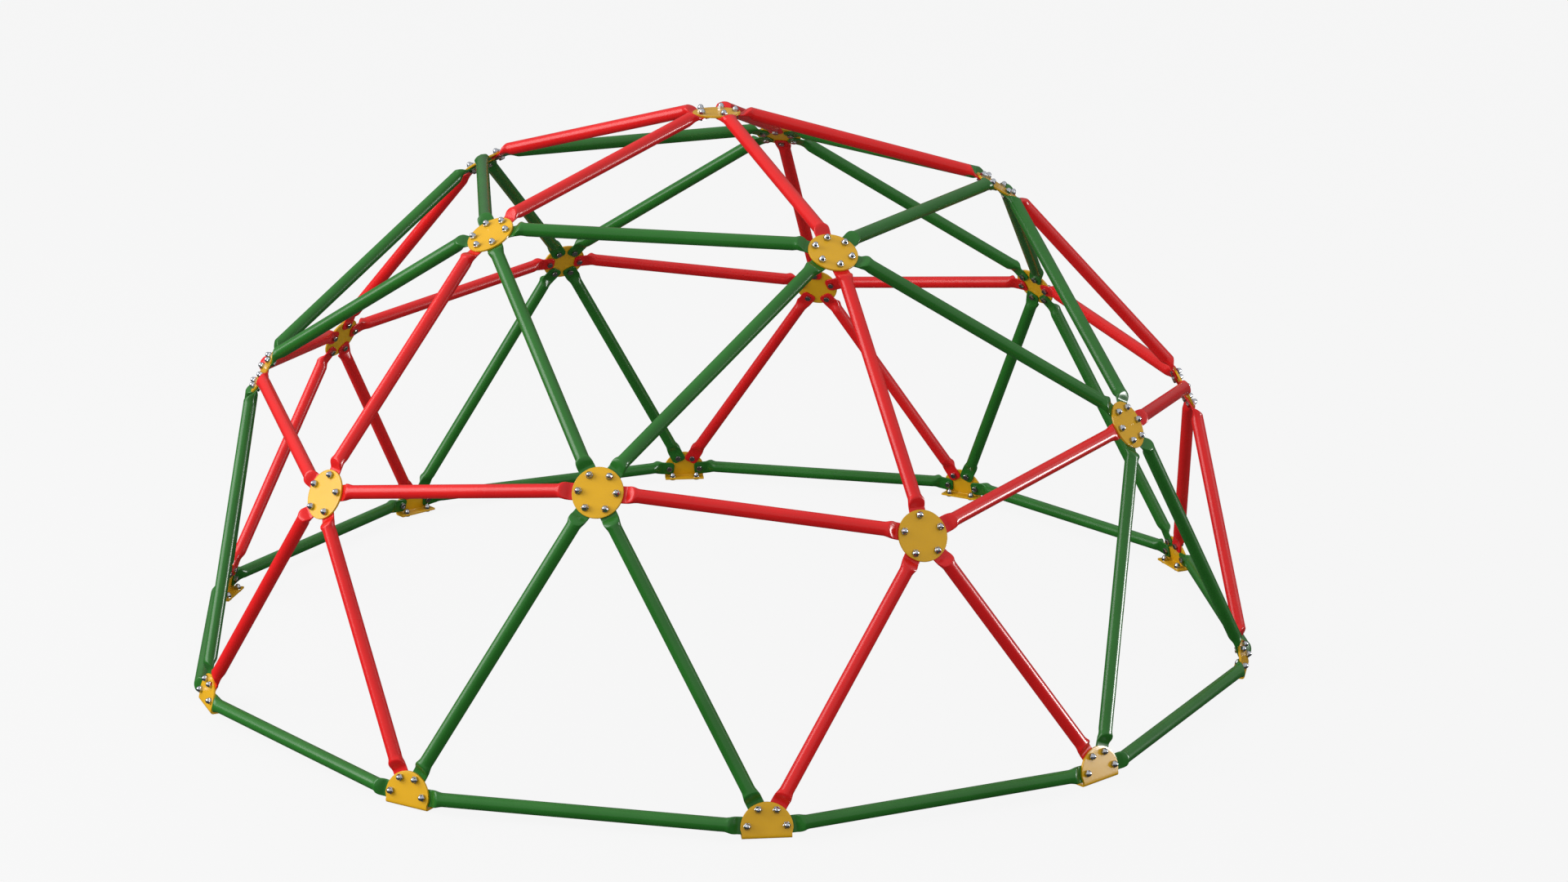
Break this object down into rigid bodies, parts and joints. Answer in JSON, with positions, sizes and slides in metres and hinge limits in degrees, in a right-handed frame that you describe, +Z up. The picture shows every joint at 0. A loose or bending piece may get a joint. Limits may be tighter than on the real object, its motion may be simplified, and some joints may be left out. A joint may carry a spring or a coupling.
{
  "type": "dome climber",
  "caption": "Geodesic dome climbing frame of red and green tubes with flattened ends, bolted to round yellow hub plates and bent foot brackets, with domed cap nuts.",
  "frame": {"origin": "on the ground at the axis of the dome, level with the undersides of the anchor bolt heads that it stands on", "axes": "+Z up along the dome's axis, -Y towards a five-way waist hub, +X and -X each towards a foot"},
  "size_m": [3.2292, 3.1224, 1.6334],
  "materials": {
    "red_paint": "gloss powder coat",
    "green_paint": "gloss powder coat",
    "yellow_paint": "semi-gloss powder coat",
    "bright_zinc": "bright plated"
  },
  "bodies": {
    "root": {"apex_strut_1": "red_paint", "apex_strut_2": "red_paint", "apex_strut_3": "red_paint", "apex_strut_4": "red_paint", "apex_strut_5": "red_paint", "crown_rail_1": "green_paint", "crown_rail_2": "green_paint", "crown_rail_3": "green_paint", "crown_rail_4": "green_paint", "crown_rail_5": "green_paint", "shoulder_strut_1": "red_paint", "shoulder_strut_2": "red_paint", "shoulder_strut_3": "red_paint", "shoulder_strut_4": "red_paint", "shoulder_strut_5": "red_paint", "shoulder_braces_1": "green_paint", "shoulder_braces_2": "green_paint", "shoulder_braces_3": "green_paint", "shoulder_braces_4": "green_paint", "shoulder_braces_5": "green_paint", "waist_rails_1": "red_paint", "waist_rails_2": "red_paint", "waist_rails_3": "red_paint", "waist_rails_4": "red_paint", "waist_rails_5": "red_paint", "pentagon_legs_1": "red_paint", "pentagon_legs_2": "red_paint", "pentagon_legs_3": "red_paint", "pentagon_legs_4": "red_paint", "pentagon_legs_5": "red_paint", "hexagon_legs_1": "green_paint", "hexagon_legs_2": "green_paint", "hexagon_legs_3": "green_paint", "hexagon_legs_4": "green_paint", "hexagon_legs_5": "green_paint", "base_rails_1": "green_paint", "base_rails_2": "green_paint", "base_rails_3": "green_paint", "base_rails_4": "green_paint", "base_rails_5": "green_paint", "apex_plate": "yellow_paint", "crown_plate_1": "yellow_paint", "crown_plate_2": "yellow_paint", "crown_plate_3": "yellow_paint", "crown_plate_4": "yellow_paint", "crown_plate_5": "yellow_paint", "waist_plates_1": "yellow_paint", "waist_plates_2": "yellow_paint", "waist_plates_3": "yellow_paint", "waist_plates_4": "yellow_paint", "waist_plates_5": "yellow_paint", "foot_brackets_1": "yellow_paint", "foot_brackets_2": "yellow_paint", "foot_brackets_3": "yellow_paint", "foot_brackets_4": "yellow_paint", "foot_brackets_5": "yellow_paint", "hub_bolts": "bright_zinc", "hub_cap_nuts": "bright_zinc", "anchor_bolts": "bright_zinc", "anchor_cap_nuts": "bright_zinc"}
  },
  "joints": []
}
